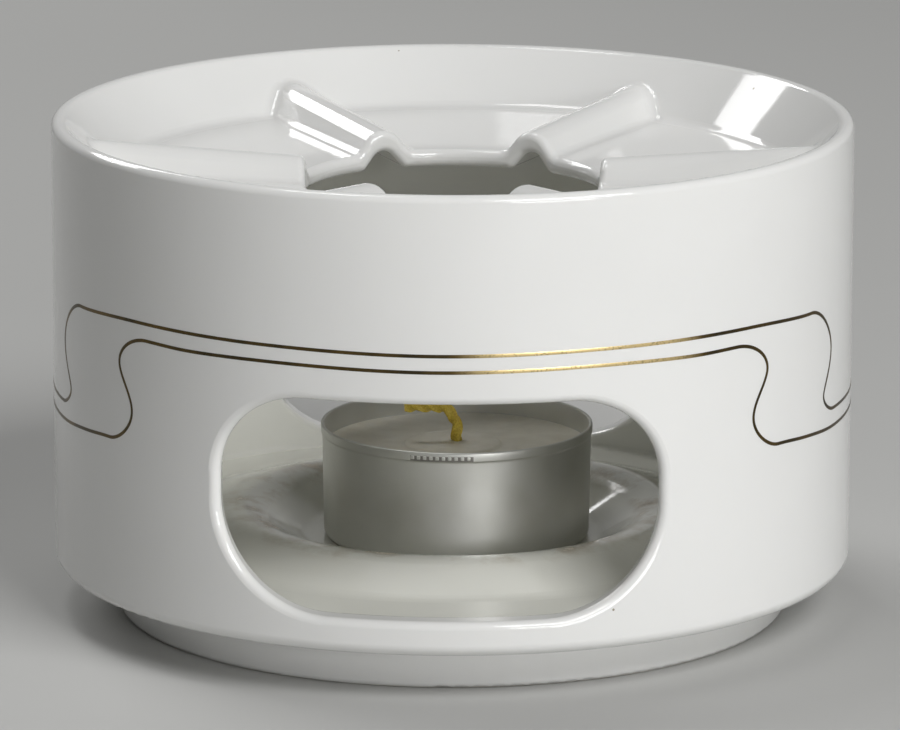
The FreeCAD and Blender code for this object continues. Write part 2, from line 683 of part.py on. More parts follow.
def wick():
    """Round wick on the bottom of the cup, straight up through holder and wax, then bent to -X."""
    body = new_body("wick", size.cup_shift, well_height + size.cup_foil)
    rise = wick_bend_height - size.cup_foil
    bend = size.wick_bend
    spot = FreeCAD.Vector
    path = new_sketch(body, "wick_path", "XZ_Plane")
    circle = Part.Circle(spot(-bend.value, rise.value, 0), spot(0, 0, 1), bend.value)
    path.addGeometry([
        Part.LineSegment(spot(0, 0, 0), spot(0, rise.value, 0)),
        Part.ArcOfCircle(circle, 0, math.pi / 2),
        Part.LineSegment(spot(-bend.value, rise.value + bend.value, 0),
                         spot(-bend.value - size.wick_lean.value, rise.value + bend.value, 0)),
    ])
    upright, arc, lean = range(3)
    path.addConstraint(Sketcher.Constraint("Coincident", upright, 1, -1, 1))
    path.addConstraint(Sketcher.Constraint("Vertical", upright))
    path.addConstraint(Sketcher.Constraint("Tangent", upright, 2, arc, 1))
    path.addConstraint(Sketcher.Constraint("Tangent", arc, 2, lean, 1))
    path.addConstraint(Sketcher.Constraint("Horizontal", lean))
    dimensions = [
        (Sketcher.Constraint("DistanceY", upright, 1, upright, 2, rise.value), rise),
        (Sketcher.Constraint("Radius", arc, bend.value), bend),
        (Sketcher.Constraint("DistanceX", lean, 2, lean, 1, size.wick_lean.value), size.wick_lean),
    ]
    for constraint, length in dimensions:
        index = path.addConstraint(constraint)
        bind(path, "Constraints[%d]" % index, length)

    strand = body.newObject("PartDesign::AdditivePipe", "strand")
    strand.Profile = circle_sketch(body, "wick_section", ZERO, ZERO, wick_radius)
    strand.Spine = (path, ["Edge1", "Edge2", "Edge3"])
    doc.recompute()
    end = -(bend + size.wick_lean)
    fillet(body, strand, "wick_end", size.wick_end_rounding,
           lambda edge: all(abs(point.x - end.value) < NEAR for point in samples(edge)))
    return body


pieces = [porcelain_body(), tealight_cup(), tealight_wax(), wick_holder(), wick()]
doc.recompute()

for thing in doc.Objects:
    if "Invalid" in thing.State or "Error" in thing.State:
        raise ValueError("%s has state %s" % (thing.Name, thing.State))
for piece in pieces:
    shape = piece.Shape
    if shape.isNull() or not shape.isValid() or len(shape.Solids) != 1:
        raise ValueError("%s is not one valid solid" % piece.Label)
    print("%-16s %8.0f mm3" % (piece.Label, shape.Volume))
    shape.exportStep("parts/%s.step" % piece.Label)
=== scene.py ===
# %% [markdown]
# # A porcelain teapot warmer, dressed from its CAD frame
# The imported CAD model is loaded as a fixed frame: a porcelain drum with a recessed top plate, and
# a tealight on its floor. This lesson gives the drum its glaze, draws the gilt lines round its
# wall, and makes a finer tealight in place of the plain CAD one. Then it sets up floor, lamps and
# camera.

import math

import bmesh
import bpy
from mathutils import Matrix, Vector


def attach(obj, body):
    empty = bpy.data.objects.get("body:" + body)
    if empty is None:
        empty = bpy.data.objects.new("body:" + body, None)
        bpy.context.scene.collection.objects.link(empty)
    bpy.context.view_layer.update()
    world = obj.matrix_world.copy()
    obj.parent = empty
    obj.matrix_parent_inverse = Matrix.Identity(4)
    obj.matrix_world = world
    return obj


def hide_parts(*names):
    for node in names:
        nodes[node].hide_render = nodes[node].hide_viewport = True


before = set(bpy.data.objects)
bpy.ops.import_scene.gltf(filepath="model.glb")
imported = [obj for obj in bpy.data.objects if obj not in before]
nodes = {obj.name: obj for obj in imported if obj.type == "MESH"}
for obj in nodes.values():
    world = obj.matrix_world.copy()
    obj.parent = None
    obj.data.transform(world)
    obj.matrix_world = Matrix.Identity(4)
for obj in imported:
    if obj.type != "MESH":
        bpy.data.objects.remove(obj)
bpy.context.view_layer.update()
print("CAD nodes:", sorted(nodes))

# %% [markdown]
# ## Millimetres and three small helpers
# The frame is in metres and the drum is only a hand's breadth across, so sizes are written in
# millimetres and turned into metres in one place. An operator acts on everything that is selected,
# and the loaded nodes start selected, so each piece begins by selecting nothing. Each piece ends
# with its place in its mesh and its object at the origin, as the CAD nodes have it.

# %% Helpers for pieces
MM = 0.001
MERGE = 0.002 * MM  # points that are nearer to each other than this become one


def start_piece():
    if bpy.context.mode != "OBJECT":
        bpy.ops.object.mode_set(mode="OBJECT")
    bpy.ops.object.select_all(action="DESELECT")


def select_only(*pieces):
    start_piece()
    for piece in pieces:
        piece.select_set(True)
    bpy.context.view_layer.objects.active = pieces[0]


def end_piece(piece, name, slot, *replaced):
    """Name a finished piece, put its place in its mesh and tie it to the frame."""
    select_only(piece)
    bpy.ops.object.transform_apply(location=True, rotation=True, scale=True)
    piece.name = name
    piece.data.name = name
    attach(piece, "root")
    if replaced:
        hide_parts(*replaced)
    print(name, "has", len(piece.data.polygons), "faces")
    return piece


def tidy_normals(angle):
    """In edit mode: merge doubles, turn all faces outwards. Then shade smooth up to an angle."""
    bpy.ops.mesh.select_all(action="SELECT")
    bpy.ops.mesh.remove_doubles(threshold=MERGE)
    bpy.ops.mesh.normals_make_consistent(inside=False)
    bpy.ops.object.mode_set(mode="OBJECT")
    bpy.ops.object.shade_smooth_by_angle(angle=math.radians(angle))


# %% [markdown]
# ## Colours and nodes
# Colours are written as the hex values that an eye would pick from a screen. Blender's shaders
# count in linear light, so one function turns hex to linear. A second one adds a node, with its
# settings and links, so that a material reads as a short list. Several features of the porcelain
# and the cup show only in one place, which is where several simple masks overlap.

# %% Helpers for materials
def colour(code):
    """Hex text such as "E8E6E0" to linear red, green, blue and alpha."""
    parts = [int(code[place:place + 2], 16) / 255 for place in (0, 2, 4)]
    return [c / 12.92 if c <= 0.04045 else ((c + 0.055) / 1.055) ** 2.4 for c in parts] + [1.0]


def new_material(name):
    """A material whose node tree is empty, and that tree."""
    material = bpy.data.materials.new(name)
    material.use_nodes = True
    material.node_tree.nodes.clear()
    return material, material.node_tree


def add(tree, kind, settings=None, stops=(), **sockets):
    """Add a node, with its settings, the stops of its colour ramp and its sockets.

    A stop is (position, colour or grey value). A socket is given by name, or by number as in n0.
    One given as (node, output) is linked, and any other value is set.
    """
    node = tree.nodes.new(kind)
    for name, value in (settings or {}).items():
        setattr(node, name, value)
    if stops:
        elements = node.color_ramp.elements
        while len(elements) < len(stops):
            elements.new(0.5)
        for element, (place, tone) in zip(elements, stops):
            element.position = place
            element.color = tone if isinstance(tone, list) else [tone, tone, tone, 1.0]
    for name, value in sockets.items():
        key = int(name[1:]) if name[0] == "n" and name[1:].isdigit() else name.replace("_", " ")
        socket = node.inputs[key]
        if isinstance(value, tuple) and isinstance(value[0], bpy.types.Node):
            tree.links.new(value[0].outputs[value[1]], socket)
        else:
            socket.default_value = value
    return node


def overlap(tree, *masks):
    """The product of masks, which is 1 only where all of them are 1."""
    product = masks[0]
    for mask in masks[1:]:
        product = (add(tree, "ShaderNodeMath", {"operation": "MULTIPLY"}, n0=product, n1=mask), 0)
    return product


def dress(piece, material):
    """Give a piece, or a CAD node, one material all over."""
    piece.data.materials.clear()
    piece.data.materials.append(material)


# %% [markdown]
# ## Glazed porcelain
# Hard porcelain is fired white and dense, and the clear feldspar glaze over it is glass: a smooth,
# bright gloss over a body that lets a little light through. What the eye reads as glaze rather
# than plastic is small: the reflections waver over a few millimetres, a few pinholes are filled
# with dark specks, and the foot ring is wiped clean of glaze so that it doesn't stick to the kiln
# shelf. Each of these is a function of its own. They read Object coordinates, whose unit is the
# metre, so a pattern's scale is one over its real size. On a drum it is handy to know a point's
# radius, which is its distance from the axis, and its height over the table.

# %% Where a point lies on the drum
def place_on_drum(tree):
    """Object coordinates, the same with no height, and from them radius and height."""
    where = (add(tree, "ShaderNodeTexCoord"), "Object")
    height = (add(tree, "ShaderNodeSeparateXYZ", Vector=where), "Z")
    level = (add(tree, "ShaderNodeVectorMath", {"operation": "MULTIPLY"}, n0=where,
                 n1=(1, 1, 0)), 0)
    radius = (add(tree, "ShaderNodeVectorMath", {"operation": "LENGTH"}, n0=level), "Value")
    return where, level, radius, height


# %% [markdown]
# ## Body tone and smoke
# The body isn't one even white: it gets a little lighter and darker over about 40 mm. Years of
# candle smoke have tinted the chamber a shade warmer than the outside. The chamber is told from
# the rest by radius and height, and each of its limits is a short soft ramp.

# %% Body tone, smoked in the chamber
def body_tone(tree, where, radius, height):
    drift = add(tree, "ShaderNodeTexNoise", Vector=where, Scale=1 / (40 * MM), Detail=2.0)
    white = add(tree, "ShaderNodeValToRGB", Fac=(drift, "Fac"),
                stops=[(0.35, colour("EBEBE9")), (0.65, colour("EFEFED"))])
    within = add(tree, "ShaderNodeMapRange", Value=radius, n1=53 * MM, n2=55 * MM,
                 n3=1.0, n4=0.0)
    below = add(tree, "ShaderNodeMapRange", Value=height, n1=52 * MM, n2=58 * MM,
                n3=1.0, n4=0.0)
    over = add(tree, "ShaderNodeMapRange", Value=height, n1=7 * MM, n2=9 * MM, n3=0.0, n4=1.0)
    smoked = overlap(tree, (within, "Result"), (below, "Result"), (over, "Result"))
    return (add(tree, "ShaderNodeMix", {"data_type": "RGBA"}, Factor=smoked,
                n6=(white, "Color"), n7=colour("EBEBE3")), 2)


# %% [markdown]
# ## Pinholes and soot
# Filled pinholes are specks of about 0.35 mm, in a few of the cells of a 9 mm grid. Soot and wax
# leave a thin brown film in a ring at the lip of the well, which noise breaks up into smudges.

# %% Specks and film
def pinhole_specks(tree, where):
    cells = add(tree, "ShaderNodeTexVoronoi", Vector=where, Scale=1 / (9 * MM))
    dot = add(tree, "ShaderNodeMath", {"operation": "LESS_THAN"}, n0=(cells, "Distance"), n1=0.02)
    chance = add(tree, "ShaderNodeSeparateColor", Color=(cells, "Color"))
    rare = add(tree, "ShaderNodeMath", {"operation": "GREATER_THAN"}, n0=(chance, "Red"), n1=0.55)
    return overlap(tree, (dot, 0), (rare, 0))


def soot_film(tree, where, radius, height):
    soft = {"interpolation_type": "SMOOTHSTEP"}
    lip = add(tree, "ShaderNodeMapRange", soft, Value=radius, n1=25.5 * MM, n2=28 * MM,
              n3=0.0, n4=1.0)
    beyond = add(tree, "ShaderNodeMapRange", soft, Value=radius, n1=29.5 * MM, n2=36 * MM,
                 n3=1.0, n4=0.0)
    low = add(tree, "ShaderNodeMath", {"operation": "LESS_THAN"}, n0=height, n1=16 * MM)
    above = add(tree, "ShaderNodeMath", {"operation": "GREATER_THAN"}, n0=height, n1=11 * MM)
    smudge = add(tree, "ShaderNodeTexNoise", Vector=where, Scale=1 / (6 * MM), Detail=5.0,
                 Roughness=0.65)
    patch = add(tree, "ShaderNodeValToRGB", Fac=(smudge, "Fac"),
                stops=[(0.46, 0.0), (0.68, 1.0)])
    return overlap(tree, (lip, "Result"), (beyond, "Result"), (low, 0), (above, 0),
                   (patch, "Color"))


# %% [markdown]
# ## The bare foot
# The lowest part of the foot ring is bare, sanded porcelain. A sponge wiped the glaze off it, so
# the edge of the glaze wavers between 0.15 and 0.3 mm over the table.

# %% Bare foot
def bare_foot(tree, where, height):
    waver = add(tree, "ShaderNodeTexNoise", Vector=where, Scale=1 / (4 * MM))
    edge = add(tree, "ShaderNodeMapRange", Value=(waver, "Fac"), n1=0.3, n2=0.7,
               n3=0.15 * MM, n4=0.3 * MM)
    return (add(tree, "ShaderNodeMath", {"operation": "LESS_THAN"}, n0=height, n1=(edge, 0)), 0)


# %% [markdown]
# ## Exact normals on the narrow roundings
# The CAD mesh follows the roundings of rim, wall and foot with few facets, on which a sharp
# reflection turns jagged. Each rounding is part of the skin of a ring, so its exact normal is
# known: it points away from the circle in the middle of that ring. The list gives each circle's
# radius and height, then the side of that radius on which the rounding lies, and the height where
# it ends. On those places the exact normal takes the place of the mesh's own.

# %% Roundings as rings
ROUNDINGS = [  # radius, height, side, over or under a limit, limit; all in mm
    (56.4, 70.4, "GREATER_THAN", "GREATER_THAN", 70.4),   # outer edge of the rim
    (56.158, 70.3, "LESS_THAN", "GREATER_THAN", 71.07),   # inner edge of the rim
    (55.7, 8.68, "GREATER_THAN", "LESS_THAN", 8.68),      # lower edge of the wall
    (47.48, 0.9, "GREATER_THAN", "LESS_THAN", 0.816),     # outer edge of the foot
]


def rounded_normal(tree, level, radius, height):
    outward = add(tree, "ShaderNodeVectorMath", {"operation": "NORMALIZE"}, n0=level)
    normal = (add(tree, "ShaderNodeNewGeometry"), "Normal")
    for ring, middle, side, end, limit in ROUNDINGS:
        reach = add(tree, "ShaderNodeMath", {"operation": "SUBTRACT"}, n0=radius, n1=ring * MM)
        rise = add(tree, "ShaderNodeMath", {"operation": "SUBTRACT"}, n0=height, n1=middle * MM)
        across = add(tree, "ShaderNodeVectorMath", {"operation": "SCALE"}, n0=(outward, 0),
                     Scale=(reach, 0))
        upward = add(tree, "ShaderNodeCombineXYZ", Z=(rise, 0))
        exact = add(tree, "ShaderNodeVectorMath", {"operation": "ADD"}, n0=(across, 0),
                    n1=(upward, 0))
        exact = add(tree, "ShaderNodeVectorMath", {"operation": "NORMALIZE"}, n0=(exact, 0))
        # Bump nodes take a normal in the world's directions
        exact = add(tree, "ShaderNodeVectorTransform",
                    {"vector_type": "NORMAL", "convert_from": "OBJECT", "convert_to": "WORLD"},
                    Vector=(exact, 0))
        beside = add(tree, "ShaderNodeMath", {"operation": side}, n0=radius, n1=ring * MM)
        past = add(tree, "ShaderNodeMath", {"operation": end}, n0=height, n1=limit * MM)
        there = overlap(tree, (beside, 0), (past, 0))
        normal = (add(tree, "ShaderNodeMix", {"data_type": "VECTOR"}, Factor=there,
                      n4=normal, n5=(exact, 0)), 1)
    return normal


# %% [markdown]
# ## The porcelain put together
# The features are laid over each other in the order in which they came about. The glaze is glossy,
# a little duller where there is film, and the bare foot is matt and gritty. As it melted, the glaze
# settled in waves about 7 mm long and a few microns high, which make its reflections waver. A
# little subsurface light gives the softness of a body that isn't quite opaque.

# %% Porcelain material
def porcelain_material():
    material, tree = new_material("glazed_porcelain")
    where, level, radius, height = place_on_drum(tree)
    film = soot_film(tree, where, radius, height)
    bare = bare_foot(tree, where, height)

    speckled = add(tree, "ShaderNodeMix", {"data_type": "RGBA"},
                   Factor=pinhole_specks(tree, where),
                   n6=body_tone(tree, where, radius, height), n7=colour("9C9384"))
    stained = add(tree, "ShaderNodeMix", {"data_type": "RGBA"}, Factor=overlap(tree, film, 0.7),
                  n6=(speckled, 2), n7=colour("A08A66"))
    finished = add(tree, "ShaderNodeMix", {"data_type": "RGBA"}, Factor=bare,
                   n6=(stained, 2), n7=colour("E2DFD8"))

    duller = add(tree, "ShaderNodeMapRange", Value=film, n3=0.07, n4=0.35)
    rough = add(tree, "ShaderNodeMix", {"data_type": "FLOAT"}, Factor=bare,
                n2=(duller, 0), n3=0.75)

    waves = add(tree, "ShaderNodeTexNoise", Vector=where, Scale=1 / (7 * MM), Detail=1.0)
    settled = add(tree, "ShaderNodeBump", Strength=1.0, Distance=0.006 * MM,
                  Height=(waves, "Fac"), Normal=rounded_normal(tree, level, radius, height))
    grit = add(tree, "ShaderNodeTexNoise", Vector=where, Scale=1 / (0.25 * MM), Detail=2.0)
    relief = add(tree, "ShaderNodeBump", Strength=0.6, Distance=0.03 * MM,
                 Height=overlap(tree, (grit, "Fac"), bare), Normal=(settled, 0))

    shader = add(tree, "ShaderNodeBsdfPrincipled", Base_Color=(finished, 2), Roughness=(rough, 0),
                 Normal=(relief, 0), IOR=1.52, Subsurface_Weight=0.10, Subsurface_Scale=1.5 * MM,
                 Subsurface_Radius=(1.0, 0.95, 0.85))
    add(tree, "ShaderNodeOutputMaterial", Surface=(shader, 0))
    return material


dress(nodes["porcelain_body"], porcelain_material())
print("porcelain on", nodes["porcelain_body"].name)

# %% [markdown]
# ## The path of a gilt line
# Two thin lines of bright gold run round the drum. Above a window they are level; towards the side
# each one turns down in an S and runs level again, lower. Unrolled from the drum, a line is a flat
# curve: x is the way round the wall and y the height. It is drawn there with a Bezier curve, whose
# handles give the S its smooth turns, and only a quarter is drawn, because the other three
# quarters are its mirror images.

# %% Draw a quarter line on the unrolled wall
WALL = 57.5            # radius of the wall, mm
LINE_WIDTH = 0.5       # mm
LINE_THICKNESS = 0.03  # mm


def quarter_line(name, knots):
    """A flat ribbon along Bezier knots; a knot is (degrees, height, handle degrees, handle mm)."""
    start_piece()
    bpy.ops.curve.primitive_bezier_curve_add()
    line = bpy.context.object
    line.name = name
    data = line.data
    data.dimensions = "2D"
    data.resolution_u = 24
    data.bevel_depth = LINE_WIDTH / 2 * MM
    data.bevel_resolution = 2
    spline = data.splines[0]
    spline.bezier_points.add(len(knots) - 2)
    for point, (turn, height, turn_by, rise_by) in zip(spline.bezier_points, knots):
        round_wall = math.radians(turn) * WALL
        reach = math.radians(turn_by) * WALL
        point.handle_left_type = point.handle_right_type = "FREE"
        point.co = Vector((round_wall, height, 0)) * MM
        point.handle_left = Vector((round_wall - reach, height - rise_by, 0)) * MM
        point.handle_right = Vector((round_wall + reach, height + rise_by, 0)) * MM
    bpy.ops.object.convert(target="MESH")
    line = bpy.context.object
    bpy.ops.object.mode_set(mode="EDIT")
    bpy.ops.mesh.select_all(action="SELECT")
    # The round section of the ribbon is pressed flat, across the wall
    bpy.ops.transform.resize(value=(1, 1, LINE_THICKNESS / LINE_WIDTH))
    bpy.ops.object.mode_set(mode="OBJECT")
    print(name, "has", len(line.data.vertices), "vertices")
    return line


# Each knot: degrees from the middle of the window, height, and how far its handles reach
LOWER_KNOTS = [
    (0.0, 47.1, 7.0, 0.0),
    (22.0, 47.33, 7.0, 0.0),
    (38.0, 47.12, 3.0, 0.0),
    (45.3, 47.2, 3.1, 0.0),
    (51.6, 43.4, 0.2, -2.0),
    (48.7, 36.6, 0.0, -2.4),
    (54.4, 31.85, 2.5, -0.05),
    (62.0, 31.35, 3.2, -0.2),
    (70.0, 30.85, 3.0, -0.1),
    (90.0, 30.8, 8.0, 0.0),
]
UPPER_KNOTS = [
    (0.0, 49.38, 8.0, 0.0),
    (24.0, 49.62, 8.0, 0.0),
    (48.0, 49.55, 6.0, -0.1),
    (63.0, 48.85, 3.2, 0.0),
    (70.4, 42.6, 0.2, -3.0),
    (67.6, 35.9, 0.1, -1.2),
    (71.6, 33.4, 1.8, -0.1),
    (90.0, 33.3, 6.0, 0.0),
]
lower_quarter = quarter_line("lower_quarter", LOWER_KNOTS)
upper_quarter = quarter_line("upper_quarter", UPPER_KNOTS)

# %% [markdown]
# ## Wrap the lines round the drum
# A Mirror modifier makes the other half of a window's line, an Array modifier repeats it for the
# rear window, and a Simple Deform modifier bends the whole strip, as long as the wall is round,
# into a full circle. The bend needs the strip upright with its length along X, so it is turned
# first. The bend puts the middle of the circle one radius behind the front, so it is moved back.

# %% Mirror, repeat, bend
def apply_modifier(piece, kind, **settings):
    modifier = piece.modifiers.new(kind.title(), kind)
    for name, value in settings.items():
        setattr(modifier, name, value)
    select_only(piece)
    bpy.ops.object.modifier_apply(modifier=modifier.name)


def wrap_round_drum(quarter, name):
    half_way = math.pi * WALL * MM
    apply_modifier(quarter, "MIRROR", merge_threshold=MERGE)
    apply_modifier(quarter, "ARRAY", use_relative_offset=False, use_constant_offset=True,
                   constant_offset_displace=(half_way, 0, 0), use_merge_vertices=True,
                   merge_threshold=MERGE)
    bpy.ops.object.mode_set(mode="EDIT")
    for vertex in bmesh.from_edit_mesh(quarter.data).verts:
        vertex.co = Vector((vertex.co.x, -vertex.co.z, vertex.co.y))
    bmesh.update_edit_mesh(quarter.data)
    bpy.ops.object.mode_set(mode="OBJECT")
    apply_modifier(quarter, "SIMPLE_DEFORM", deform_method="BEND", deform_axis="Z",
                   angle=2 * math.pi)
    bpy.ops.object.mode_set(mode="EDIT")
    bpy.ops.mesh.select_all(action="SELECT")
    bpy.ops.transform.translate(value=(0, -WALL * MM, 0))
    tidy_normals(60.0)
    return end_piece(quarter, name, "porcelain")


gilt_lines = [wrap_round_drum(lower_quarter, "gilt_line_lower"),
              wrap_round_drum(upper_quarter, "gilt_line_upper")]

# %% [markdown]
# ## Bright gold
# The lines are liquid bright gold: brushed on over the glaze and fired on, a metal film thinner
# than a hair. Their tone runs from dark bronze, a painted dark reflection, to bright yellow gold, a
# painted glint. The glint is painted in front, right of the middle, and at the opposite place
# behind: x times y of a turned frame is lowest at these two places and rises on both sides of them.
# Noise adds a little random unevenness to the tone. Handling wears the film, so it is broken by
# fine worn spots that are darker and duller.

# %% Gilding material
def gilding_material():
    material, tree = new_material("bright_gold_gilding")
    where = (add(tree, "ShaderNodeTexCoord"), "Object")
    turned = add(tree, "ShaderNodeMapping", Vector=where, Rotation=(0, 0, math.radians(24)))
    sides = add(tree, "ShaderNodeSeparateXYZ", Vector=(turned, 0))
    across = add(tree, "ShaderNodeMath", {"operation": "MULTIPLY"}, n0=(sides, "X"),
                 n1=(sides, "Y"))
    # Painted glint: the gold turns bright yellow at two places round the drum, front right and
    # opposite behind
    painted_glint = add(tree, "ShaderNodeMapRange", {"interpolation_type": "SMOOTHSTEP"},
               Value=(across, 0), n1=-0.38 * (WALL * MM) ** 2, n2=-0.47 * (WALL * MM) ** 2,
               n3=0.0, n4=0.8)
    brush = add(tree, "ShaderNodeTexNoise", Vector=where, Scale=1 / (5 * MM), Detail=3.0)
    uneven = add(tree, "ShaderNodeMapRange", Value=(brush, "Fac"), n1=0.35, n2=0.65,
                 n3=0.0, n4=0.2)
    glint_and_unevenness = add(tree, "ShaderNodeMath", {"operation": "ADD"}, n0=(painted_glint, "Result"),
                 n1=(uneven, "Result"))
    # Dark bronze is a painted dark reflection, bright yellow gold the painted glint
    tone = add(tree, "ShaderNodeValToRGB", Fac=(glint_and_unevenness, 0),
               stops=[(0.0, colour("4A4230")), (0.2, colour("6A5836")), (0.9, colour("F2D9A0"))])
    wear = add(tree, "ShaderNodeTexNoise", Vector=where, Scale=1 / (0.35 * MM), Detail=3.0)
    worn = add(tree, "ShaderNodeValToRGB", Fac=(wear, "Fac"), stops=[(0.52, 0.0), (0.70, 1.0)])
    half_worn = overlap(tree, (worn, "Color"), 0.5)
    film = add(tree, "ShaderNodeMix", {"data_type": "RGBA"}, Factor=half_worn,
               n6=(tone, "Color"), n7=colour("4C4230"))
    rough = add(tree, "ShaderNodeMapRange", Value=half_worn, n3=0.30, n4=0.50)
    bump = add(tree, "ShaderNodeBump", Strength=0.5, Distance=0.01 * MM, Height=(wear, "Fac"))
    shader = add(tree, "ShaderNodeBsdfPrincipled", Base_Color=(film, 2), Metallic=1.0,
                 Roughness=(rough, 0), Normal=(bump, 0))
    add(tree, "ShaderNodeOutputMaterial", Surface=(shader, 0))
    return material


gilding = gilding_material()
for line in gilt_lines:
    dress(line, gilding)
print("gilding on", len(gilt_lines), "lines")

# %% [markdown]
# ## Turned pieces
# The tealight's cup and wax are round, so each is grown from one circle: the circle is added at
# the first radius, and for each next step its edge is extruded and then drawn in or out. A step
# can also slide sideways, for wax that sets a little off the middle. The first and last circle are
# closed.

# %% A helper for round pieces
def turn_piece(steps, segments, centre):
    """A closed round piece; a step is (radius, height, slide along X), all in mm."""
    start_piece()
    radius, height, slide = steps[0]
    bpy.ops.mesh.primitive_circle_add(vertices=segments, radius=radius * MM, fill_type="NGON",
                                      location=Vector(centre) * MM)
    piece = bpy.context.object
    bpy.ops.object.transform_apply(location=True)
    bpy.ops.object.mode_set(mode="EDIT")
    bpy.ops.mesh.select_all(action="SELECT")
    bpy.ops.transform.translate(value=(slide * MM, 0, height * MM))
    bpy.ops.mesh.select_mode(type="EDGE")
    bpy.ops.mesh.select_all(action="SELECT")
    for new_radius, new_height, new_slide in steps[1:]:
        bpy.ops.mesh.extrude_edges_move(
            TRANSFORM_OT_translate={"value": ((new_slide - slide) * MM, 0,
                                              (new_height - height) * MM)})
        middle = Vector((centre[0] + new_slide, centre[1], centre[2] + new_height)) * MM
        bpy.ops.transform.resize(value=(new_radius / radius, new_radius / radius, 1),
                                 center_override=middle)
        radius, height, slide = new_radius, new_height, new_slide
    bpy.ops.mesh.edge_face_add()
    return piece


def arc_steps(centre_radius, centre_height, radius, first, last, count):
    """Steps round an arc of the section, from one angle to another, in degrees from outwards."""
    angles = [math.radians(first + (last - first) * i / (count - 1)) for i in range(count)]
    return [(centre_radius + radius * math.cos(angle), centre_height + radius * math.sin(angle), 0)
            for angle in angles]


# %% [markdown]
# ## The tealight cup
# The cup is deep-drawn from aluminium foil about 0.3 mm thick: a disc of foil is pressed through a
# ring into a pot, then its edge is rolled outwards into a band that is safe to the fingers. The
# band stands out from the wall by a fifth of a millimetre. Its section is followed from the bottom
# up the outside, over the rolled band and down the inside.

# %% Cup
CUP = (0.65, 0.0, 9.9)  # middle of the cup's bottom, on the bottom of the well, mm
cup_steps = (
    arc_steps(18.2, 1.0, 1.0, -90, 0, 7)
    + [(19.27, 4.0, 0), (19.37, 10.0, 0), (19.44, 14.9, 0), (19.46, 15.2, 0)]
    + arc_steps(19.5, 15.4, 0.15, -90, 0, 5)
    + [(19.65, 16.0, 0)]
    + arc_steps(19.4, 16.35, 0.25, 0, 180, 9)
    + [(19.15, 15.1, 0), (18.9, 2.0, 0)]
    + arc_steps(18.2, 1.0, 0.7, 0, -90, 5)
)
cup = turn_piece(cup_steps, 192, CUP)
tidy_normals(40.0)
print("cup turned in", len(cup_steps), "steps")

# %% [markdown]
# ## Teeth in the band
# On one side the roller left a short row of teeth in the band, which catch the light. A tooth is
# modelled once, as a small block with bevelled edges, and copied along the band. The copies are
# joined to the cup, so that the cup stays one piece.

# %% Teeth in the rolled band
TOOTH_SIZE = (0.52, 0.36, 0.5)     # along the band, through it and upright, mm
TOOTH_PLACE = (0.0, -19.66, 15.8)  # middle of a tooth at the front, seen from CUP, mm
FIRST_TOOTH = -16.5                # degrees from the front of the cup
TOOTH_STEP = 2.62                  # degrees
TOOTH_COUNT = 10


def tooth(turn):
    """One tooth on the band, this many degrees from the front of the cup."""
    start_piece()
    bpy.ops.mesh.primitive_cube_add(size=1, location=[place * MM for place in TOOTH_PLACE])
    block = bpy.context.object
    block.scale = [size * MM for size in TOOTH_SIZE]
    bpy.ops.object.transform_apply(location=True, scale=True)
    bpy.ops.object.mode_set(mode="EDIT")
    bpy.ops.mesh.select_all(action="SELECT")
    bpy.ops.mesh.bevel(offset=0.09 * MM, segments=3, affect="EDGES")
    bpy.ops.mesh.select_all(action="SELECT")
    # With no window, rotate counts the other way round
    bpy.ops.transform.rotate(value=-math.radians(turn), orient_axis="Z", center_override=(0, 0, 0))
    bpy.ops.transform.translate(value=Vector(CUP) * MM)
    tidy_normals(40.0)
    return block


teeth = [tooth(FIRST_TOOTH + TOOTH_STEP * step) for step in range(TOOTH_COUNT)]
select_only(cup, *teeth)
bpy.ops.object.join()
end_piece(cup, "tealight_cup_rolled", "cup_aluminium", "tealight_cup")

# %% [markdown]
# ## Drawn aluminium
# Pressing foil through a ring leaves fine upright scratches on the wall, and a satin sheen that is
# stretched along them. The scratches are noise that is squeezed round the cup and stretched up it.
# The gaps between the teeth are darkened with painted shade: there the surface of the band, which
# lies behind the fronts of the teeth, is painted greyer. The strip is a box, given by its limits
# from the middle of the cup, and a radius.

# %% Cup material
# Where the painted shade between the teeth goes: a box round the cup's middle
PAINTED_SHADE_STRIP = [("X", "GREATER_THAN", -5.9), ("X", "LESS_THAN", 3.1), ("Y", "LESS_THAN", 0.0),
              ("Z", "GREATER_THAN", 25.22), ("Z", "LESS_THAN", 25.95)]  # mm; Z from the table
PAINTED_SHADE_RADIUS = 19.7  # mm


# Mask of the painted shade in the gaps between the teeth
def painted_gap_shade(tree, where):
    shifted = add(tree, "ShaderNodeVectorMath", {"operation": "SUBTRACT"}, n0=where,
                  n1=Vector((CUP[0], CUP[1], 0)) * MM)
    sides = add(tree, "ShaderNodeSeparateXYZ", Vector=(shifted, 0))
    level = add(tree, "ShaderNodeVectorMath", {"operation": "MULTIPLY"}, n0=(shifted, 0),
                n1=(1, 1, 0))
    out = add(tree, "ShaderNodeVectorMath", {"operation": "LENGTH"}, n0=(level, 0))
    behind = add(tree, "ShaderNodeMath", {"operation": "LESS_THAN"}, n0=(out, "Value"),
                 n1=PAINTED_SHADE_RADIUS * MM)
    masks = [(add(tree, "ShaderNodeMath", {"operation": test}, n0=(sides, axis), n1=limit * MM), 0)
             for axis, test, limit in PAINTED_SHADE_STRIP]
    return overlap(tree, (behind, 0), *masks)


